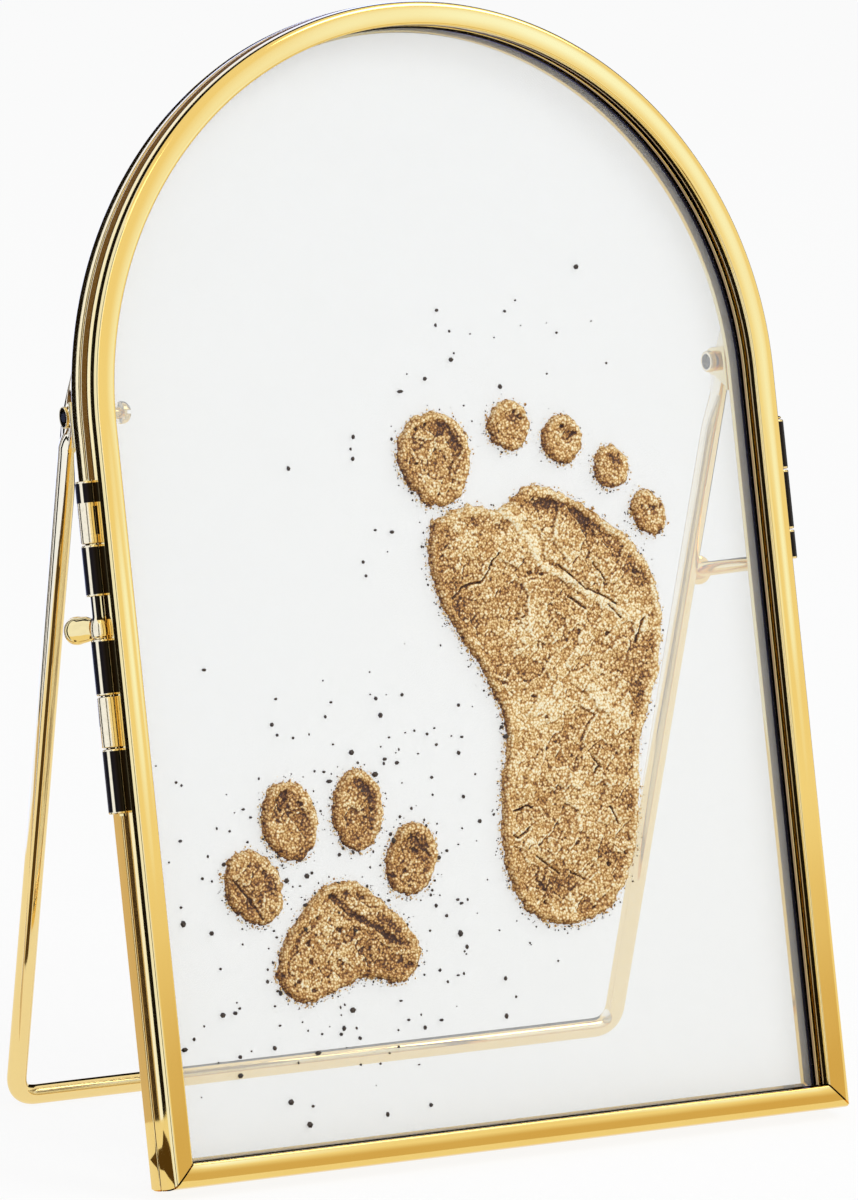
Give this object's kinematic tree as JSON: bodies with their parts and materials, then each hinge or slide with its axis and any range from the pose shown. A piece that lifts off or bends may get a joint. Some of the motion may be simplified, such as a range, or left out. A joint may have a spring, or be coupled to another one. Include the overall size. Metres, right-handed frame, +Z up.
{
  "type": "keepsake picture frame",
  "caption": "Arched brass-and-glass keepsake frame whose hinged front door, sliding bolt and folding wire stand hold and show a baby's footprint and a paw print cast in sand.",
  "frame": {"origin": "on the surface it stands on, under the middle of the whole object's box", "axes": "+Z up, +X to the right as seen from the front, -Y out of the front; the frame leans back by 15.2 degrees"},
  "size_m": [0.1376, 0.0654, 0.1835],
  "materials": {
    "brass": "polished",
    "glass": "polished",
    "sand": "matte"
  },
  "bodies": {
    "rear_frame": {"rear_arch_rail": "brass", "rear_bottom_rail": "brass", "rear_glass": "glass", "foot_sole": "sand", "foot_big_toe": "sand", "foot_toe_2": "sand", "foot_toe_3": "sand", "foot_toe_4": "sand", "foot_toe_5": "sand", "paw_pad": "sand", "paw_toe_1": "sand", "paw_toe_2": "sand", "paw_toe_3": "sand", "paw_toe_4": "sand", "hinge_knuckle_rear_upper": "brass", "hinge_knuckle_rear_lower": "brass", "hinge_pin": "brass", "latch_keeper": "brass", "latch_rest": "brass", "stand_bracket_left": "brass", "stand_bracket_right": "brass", "stand_screw_left": "brass", "stand_screw_right": "brass", "stand_nut_left": "brass", "stand_nut_right": "brass", "stand_stop_post": "brass"},
    "front_door": {"front_arch_rail": "brass", "front_bottom_rail": "brass", "front_glass": "glass", "hinge_knuckle_front": "brass", "latch_guide_upper": "brass", "latch_guide_middle": "brass", "latch_guide_lower": "brass"},
    "bolt": {"latch_bolt": "brass", "latch_handle": "brass"},
    "stand": {"stand_loop": "brass"}
  },
  "joints": [
    {"name": "door_hinge", "type": "hinge", "parent": "rear_frame", "child": "front_door", "pos_m": [0.06715, -0.00142, 0.10018], "axis": [0, 0.2622, 0.965], "range_deg": [0, 150]},
    {"name": "bolt_slide", "type": "slide", "parent": "front_door", "child": "bolt", "axis": [0, 0.2622, 0.965], "range_m": [0, 0.0033]},
    {"name": "stand_fold", "type": "hinge", "parent": "rear_frame", "child": "stand", "pos_m": [0.0009, 0.01208, 0.11993], "axis": [1, 0, 0], "range_deg": [-25, 0]}
  ]
}
